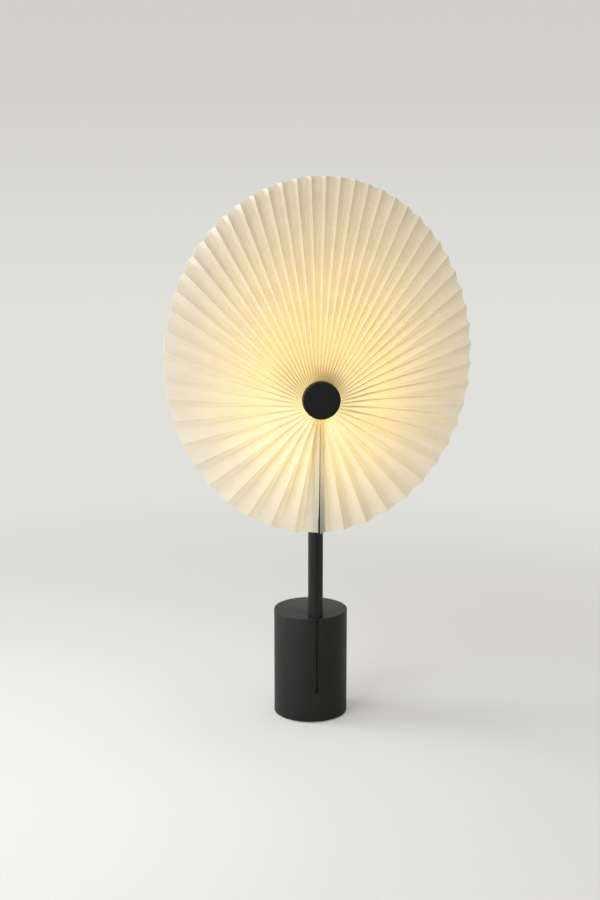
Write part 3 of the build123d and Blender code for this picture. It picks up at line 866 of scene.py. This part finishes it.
    def leaf_point(self, line: list[Vector], column: int, share: float) -> Vector:
        """Place of one column of the grid on its leaf.

        Args:
            line: Places of all folds on this row.
            column: Column of the grid, counted from the seam.
            share: Share of the way from hub to rim.

        Returns:
            The place in the lamp's frame.
        """
        leaf, stop = divmod(column, len(self.leaf_stops))
        if stop == 0:
            inward = self.ridge_round if leaf % 2 == 0 else -self.valley_round
            return line[leaf] + Vector((0, inward, 0))
        across = self.leaf_stops[stop]
        near, far = line[leaf], line[leaf + 1]
        outward = Vector((near.x, 0, near.z - self.hub_height)).normalized()
        square = (far - near).cross(outward).normalized()
        bow = self.bows[leaf] * 4 * across * (1 - across) * share
        from_ridge = across if leaf % 2 == 0 else 1 - across
        sag = math.sin(math.pi / 2 * from_ridge) - from_ridge
        softness = self.valley_softness * (1 - self.crown_crispness * max(outward.z, 0.0))
        sag *= softness * share * abs(far.y - near.y)
        return near.lerp(far, across) + square * bow + Vector((0, sag, 0))

    def rim_reach(self, angle: float) -> float:
        """Distance from the hub's axis to the rim in one direction.

        Args:
            angle: Direction from straight up, towards +X.

        Returns:
            The distance in metres.
        """
        wide, high = self.half_width**-2, self.half_height**-2
        square = math.sin(angle) ** 2 * wide + math.cos(angle) ** 2 * high
        linear = self.lift * math.cos(angle) * high
        rest = self.lift**2 * high - 1
        return (linear + math.sqrt(linear**2 - square * rest)) / square

    def rim_share(self, place: Vector) -> float:
        """Share of the way from the hub's axis to the rim."""
        across, up = place.x, place.z - self.hub_height
        return math.hypot(across, up) / self.rim_reach(math.atan2(across, up))

    def glow_at(self, place: Vector) -> float:
        """Strength of the light that comes through the sheet.

        Args:
            place: Place on the sheet.

        Returns:
            The strength.
        """
        across, up = place.x, place.z - self.hub_height
        share = self.rim_share(place)
        upward = up / math.hypot(across, up)
        reach = self.glow_reach + self.low_reach * max(-upward, 0.0)
        glow = self.rim_glow + self.core_glow / (1 + (share / reach) ** self.glow_fall)
        inner = 1 - smooth_step(self.inner_near, self.inner_far, math.hypot(across, up))
        glow *= 1 - self.inner_dim * inner * (1 - max(upward, 0.0))
        glow *= 1 - self.hub_dim * self.hub_shade(across, up)
        glow *= 1 - self.crown_dim * max(upward, 0.0)
        return glow * (1 - self.stem_shade(across, up) * (1 - self.shadow_light * (1 - share)))

    def hub_shade(self, across: float, up: float) -> float:
        """Share of the shade that the knob and the crowded pleats give next to the hub.

        Args:
            across: Distance from the hub's axis towards +X.
            up: Distance above the hub's axis.

        Returns:
            The share, greatest on the upper right.
        """
        turned = math.atan2(across, up) - self.hub_dim_angle
        near = 1 - smooth_step(self.hub_radius, self.hub_dim_reach, math.hypot(across, up))
        return near * max(math.cos(turned), 0.0) ** 2

    def stem_shade(self, across: float, up: float) -> float:
        """Share of the stem's shadow, a band down the sheet below the hub.

        Args:
            across: Distance from the hub's axis towards +X.
            up: Distance above the hub's axis.

        Returns:
            The share, 0 above the hub.
        """
        return 1 - smooth_step(self.shadow_inner, self.shadow_outer, abs(across)) if up < 0 else 0.0

    def valley_strength(self, angle: float) -> float:
        """Strength of the valleys' painted shade lines, strongest on the upper right.

        Args:
            angle: Direction from straight up, towards +X.

        Returns:
            The strength.
        """
        side, least = (1.0, 0.0) if angle > 0 else (self.valley_left, self.valley_least)
        return side * max(math.cos(abs(angle) - self.valley_angle), least) ** self.valley_power

    def paint_glow(self, sheet: bpy.types.Object) -> None:
        """Store the sheet's painted layers as attributes of its points.

        They are the glow, the painted shade of the valleys and next to the hub, the painted
        highlights on the ridges, the paler glow near the hub and the grey painted shadow of the stem.

        Args:
            sheet: The finished sheet.
        """
        glow, valley, ridge, pale, shadow = [], [], [], [], []
        stops = len(self.leaf_stops)
        row_length = self.leaves * stops + 1
        for point in sheet.data.vertices:
            leaf, stop = divmod((point.index % (row_length * (self.rows + 1))) % row_length, stops)
            depth = self.leaf_stops[stop] if leaf % 2 == 0 else 1 - self.leaf_stops[stop]
            across, up = point.co.x, point.co.z - self.hub_height
            reach = math.hypot(across, up)
            outer = smooth_step(self.fade_near, self.fade_far, reach)
            narrowing = smooth_step(self.valley_near, self.valley_middle, reach)
            start = self.valley_start + self.valley_narrowing * narrowing
            # Painted shade line towards the bottom of each valley
            line = smooth_step(start, start + self.valley_width, depth)
            line *= 1 - smooth_step(self.line_near, self.line_far, reach)
            line *= self.valley_strength(math.atan2(across, up))
            gain = 1.0 if point.normal.y < 0 else self.back_gain
            gain *= (1 + self.valley_lift * depth * (1 - outer)) * (1 - self.valley_dim * line)
            glow.append(gain * self.glow_at(point.co))
            shade = self.stem_shade(across, up)
            share = self.rim_share(point.co)
            low = self.shadow_grey * smooth_step(self.shadow_grey_start, 1.0, share)
            shadow.append(low * shade if across > 0 else 0.0)
            # Painted shadow of the stem and painted shade next to the hub, darkening the paper's
            # colour
            band = self.shadow_painted_shade * shade * (1 - share)
            hub_painted_shade = self.hub_painted_shade * self.hub_shade(across, up)
            valley.append(max(self.valley_painted_shade * line, hub_painted_shade, band))
            # Painted highlight along the ridges
            ridge.append(self.ridge_light * outer if depth == 0 else 0.0)
            near = 1 - smooth_step(self.inner_near, self.pale_reach, reach)
            pale.append(near * (1 - max(up / reach, 0.0)) * (1 - shade))
        layers = {"glow": glow, "valley": valley, "ridge": ridge, "pale": pale, "shadow": shadow}
        for name, values in layers.items():
            sheet.data.attributes.new(name, "FLOAT", "POINT").data.foreach_set("value", values)


@dataclass
class LampBase(SubAssembly):
    """Weighted base with the battery inside it."""

    pad_edge: float = 0.0004
    pad_edge_angle: float = math.radians(60)
    pad_edge_segments: int = 3
    pad_smooth_angle: float = math.radians(40)
    pad_sides: int = 128
    underside: float = -0.9
    ring_count: int = 3
    ring_width: float = 0.0035
    ring_depth: float = 0.0004

    def build(self) -> None:
        """Dress the casing and its insides and build the foot pad."""
        super().build()
        self.place(self.foot_pad(), "foot_pad")

    def foot_pad(self) -> bpy.types.Object:
        """Model the rubber pad: a disc with a rounded edge and grooves in its underside.

        Returns:
            The new object.
        """
        low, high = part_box("foot_pad")
        radius = (high.x - low.x) / 2
        bpy.ops.object.select_all(action="DESELECT")
        bpy.ops.mesh.primitive_cylinder_add(vertices=self.pad_sides, radius=radius,
                                            depth=high.z - low.z, location=(low + high) / 2)
        pad = bpy.context.object
        pad.name = "ribbed_foot_pad"
        bpy.ops.object.transform_apply(location=True, rotation=True, scale=True)
        bpy.ops.object.mode_set(mode="EDIT")
        bpy.ops.mesh.select_mode(type="FACE")
        bpy.ops.mesh.select_all(action="DESELECT")
        bpy.ops.object.mode_set(mode="OBJECT")
        for face in pad.data.polygons:
            face.select = face.normal.z < self.underside
        bpy.ops.object.mode_set(mode="EDIT")
        for _ in range(self.ring_count):
            bpy.ops.mesh.inset(thickness=self.ring_width, depth=0.0)
            bpy.ops.mesh.inset(thickness=self.ring_depth, depth=-self.ring_depth)
            bpy.ops.mesh.inset(thickness=self.ring_width, depth=0.0)
            bpy.ops.mesh.inset(thickness=self.ring_depth, depth=self.ring_depth)
        bpy.ops.object.mode_set(mode="OBJECT")
        apply_modifier(pad, "BEVEL", width=self.pad_edge, segments=self.pad_edge_segments,
                       limit_method="ANGLE", angle_limit=self.pad_edge_angle)
        bpy.ops.object.shade_smooth_by_angle(angle=self.pad_smooth_angle)
        return pad


@dataclass(frozen=True)
class Viewpoint:
    """Camera of the main view, placed round the base's axis."""

    azimuth: float = math.radians(-10.0)
    distance: float = 1.6165
    height: float = 0.6304
    pitch: float = math.radians(12.92)
    pan: float = math.radians(0.36)
    lens: float = 70.48
    sensor: float = 36.0

    def build(self) -> None:
        """Place the camera and make it the scene's own."""
        data = bpy.data.cameras.new("view")
        data.lens = self.lens
        data.sensor_width = self.sensor
        camera = bpy.data.objects.new("view", data)
        bpy.context.scene.collection.objects.link(camera)
        across, along = math.sin(self.azimuth), -math.cos(self.azimuth)
        camera.location = (across * self.distance, along * self.distance, self.height)
        camera.rotation_euler = (math.pi / 2 - self.pitch, 0.0, self.azimuth + self.pan)
        bpy.context.scene.camera = camera


@dataclass(frozen=True)
class Pane:
    """One square soft light, as a window gives."""

    place: Vector
    size: float
    power: float
    spread: float = math.pi


@dataclass(frozen=True)
class Studio:
    """Pale floor and background with soft light from the left."""

    floor_radius: float = 0.9
    floor_sides: int = 128
    fade_start: float = 0.17
    floor_colour: Colour = (0.7, 0.705, 0.675)
    floor_roughness: float = 0.8
    floor_specular: float = 0.1
    background: Colour = (0.75, 0.75, 0.705)
    high_background: Colour = (0.63, 0.625, 0.58)
    gradient: tuple[float, float] = (-0.16, 0.02)
    sky_colour: Colour = (1.0, 0.945, 0.91)
    sky_level: float = 0.44
    floor_lift: float = 0.26
    panes: tuple[Pane, ...] = (
        Pane(Vector((-0.66, -0.54, 0.52)), 0.7, 4.65),
        Pane(Vector((-1.0, 0.3, 0.55)), 0.7, 2.75, math.radians(100)),
    )
    pane_aim: Vector = Vector((0.0, -0.02, 0.27))
    pane_colour: Colour = (0.93, 0.985, 1.02)

    def build(self) -> None:
        """Build the floor, the world and the lights."""
        bpy.context.scene.view_settings.view_transform = "Standard"
        self.build_floor()
        self.build_world()
        for pane in self.panes:
            self.build_pane(pane)

    def build_floor(self) -> None:
        """Lay a wide round floor that fades into the background."""
        bpy.ops.object.select_all(action="DESELECT")
        bpy.ops.mesh.primitive_circle_add(vertices=self.floor_sides, radius=self.floor_radius,
                                          fill_type="NGON")
        floor = bpy.context.object
        floor.name = "floor"
        material = bpy.data.materials.new("floor")
        material.use_nodes = True
        graph = Graph(material.node_tree)
        shader = material.node_tree.nodes["Principled BSDF"]
        shader.inputs["Base Color"].default_value = opaque(self.floor_colour)
        shader.inputs["Roughness"].default_value = self.floor_roughness
        shader.inputs["Specular IOR Level"].default_value = self.floor_specular
        reach = graph.node("ShaderNodeVectorMath", operation="LENGTH")
        graph.feed(reach.inputs[0], graph.object_place())
        fade_radius = self.fade_start * self.floor_radius
        far = graph.stretch(reach.outputs["Value"], fade_radius, self.floor_radius)
        clear = graph.node("ShaderNodeBsdfTransparent")
        lift = graph.node("ShaderNodeEmission")
        lift.inputs["Color"].default_value = opaque(self.background)
        ray = graph.node("ShaderNodeLightPath")
        seen = graph.calc("MULTIPLY", ray.outputs["Is Camera Ray"], self.floor_lift)
        graph.feed(lift.inputs["Strength"], seen)
        raised = graph.node("ShaderNodeAddShader")
        graph.feed(raised.inputs[0], shader.outputs[0])
        graph.feed(raised.inputs[1], lift.outputs[0])
        mixed = graph.node("ShaderNodeMixShader")
        graph.feed(mixed.inputs[0], far)
        graph.feed(mixed.inputs[1], raised.outputs[0])
        graph.feed(mixed.inputs[2], clear.outputs[0])
        graph.feed(graph.tree.nodes["Material Output"].inputs["Surface"], mixed.outputs[0])
        floor.data.materials.append(material)

    def build_world(self) -> None:
        """Give the world a pale background, darker higher up, and a soft all-round light."""
        world = bpy.data.worlds.new("studio")
        world.use_nodes = True
        bpy.context.scene.world = world
        graph = Graph(world.node_tree)
        sky = world.node_tree.nodes["Background"]
        sky.inputs["Color"].default_value = opaque(self.sky_colour)
        sky.inputs["Strength"].default_value = self.sky_level
        apart = graph.node("ShaderNodeSeparateXYZ")
        graph.feed(apart.inputs[0], graph.node("ShaderNodeTexCoord").outputs["Generated"])
        high = graph.stretch(apart.outputs["Z"], *self.gradient)
        plain = graph.node("ShaderNodeBackground")
        graph.feed(plain.inputs["Color"], graph.blend(high, self.background, self.high_background))
        ray = graph.node("ShaderNodeLightPath")
        seen = graph.calc("MAXIMUM", ray.outputs["Is Camera Ray"], ray.outputs["Is Glossy Ray"])
        seen = graph.calc("MAXIMUM", seen, ray.outputs["Is Transmission Ray"])
        mixed = graph.node("ShaderNodeMixShader")
        graph.feed(mixed.inputs[0], seen)
        graph.feed(mixed.inputs[1], sky.outputs[0])
        graph.feed(mixed.inputs[2], plain.outputs[0])
        graph.feed(world.node_tree.nodes["World Output"].inputs["Surface"], mixed.outputs[0])

    def build_pane(self, pane: Pane) -> None:
        """Hang one large soft light, turned to the lamp.

        Args:
            pane: The light's place, size, power and spread.
        """
        data = bpy.data.lights.new("pane", "AREA")
        data.shape = "SQUARE"
        data.size = pane.size
        data.energy = pane.power
        data.spread = pane.spread
        data.color = self.pane_colour
        light = bpy.data.objects.new("pane", data)
        bpy.context.scene.collection.objects.link(light)
        light.location = pane.place
        light.rotation_euler = (self.pane_aim - pane.place).to_track_quat("-Z", "Y").to_euler()


def main() -> None:
    """Build the lamp's sub-assemblies in order, then the studio and the camera."""
    logging.basicConfig(level=logging.INFO, format="%(name)s: %(message)s")
    shelf = FinishShelf()
    assemblies = (
        LampBase(
            shelf,
            plain_nodes=(
                "base_plate", "ballast_weight", "plate_screws", "control_board", "board_spacers",
                "board_screws", "board_chips", "charge_socket", "battery_cradle", "battery_cells",
                "stem_set_screws", "lead_grommet",
            ),
            rounded_nodes={"base_body": 0.0003},
        ),
        SubAssembly(
            shelf,
            plain_nodes=("stem_cap", "stem_lead", "lamp_pipe", "pipe_nuts", "rear_saddle"),
            rounded_nodes={"stem": 0.00015},
        ),
        SubAssembly(
            shelf,
            plain_nodes=(
                "hub_spool", "clamp_ring", "clamp_screws", "dimmer_board", "dimmer_body", "snap_dome",
            ),
        ),
        SubAssembly(shelf, plain_nodes=("dimmer_rotor",), body=Body.ROTOR),
        SubAssembly(
            shelf,
            plain_nodes=("knob_shaft",),
            rounded_nodes={"knob_cap": 0.0002},
            body=Body.KNOB,
        ),
        SubAssembly(
            shelf,
            plain_nodes=("light_board", "light_chips", "light_screws", "diffuser"),
            rounded_nodes={"head_cup": 0.0003, "rear_cap": 0.0002},
        ),
        PleatedShade(shelf),
    )
    for assembly in assemblies:
        assembly.build()
    Studio().build()
    Viewpoint().build()


if __name__ == "__main__":
    main()
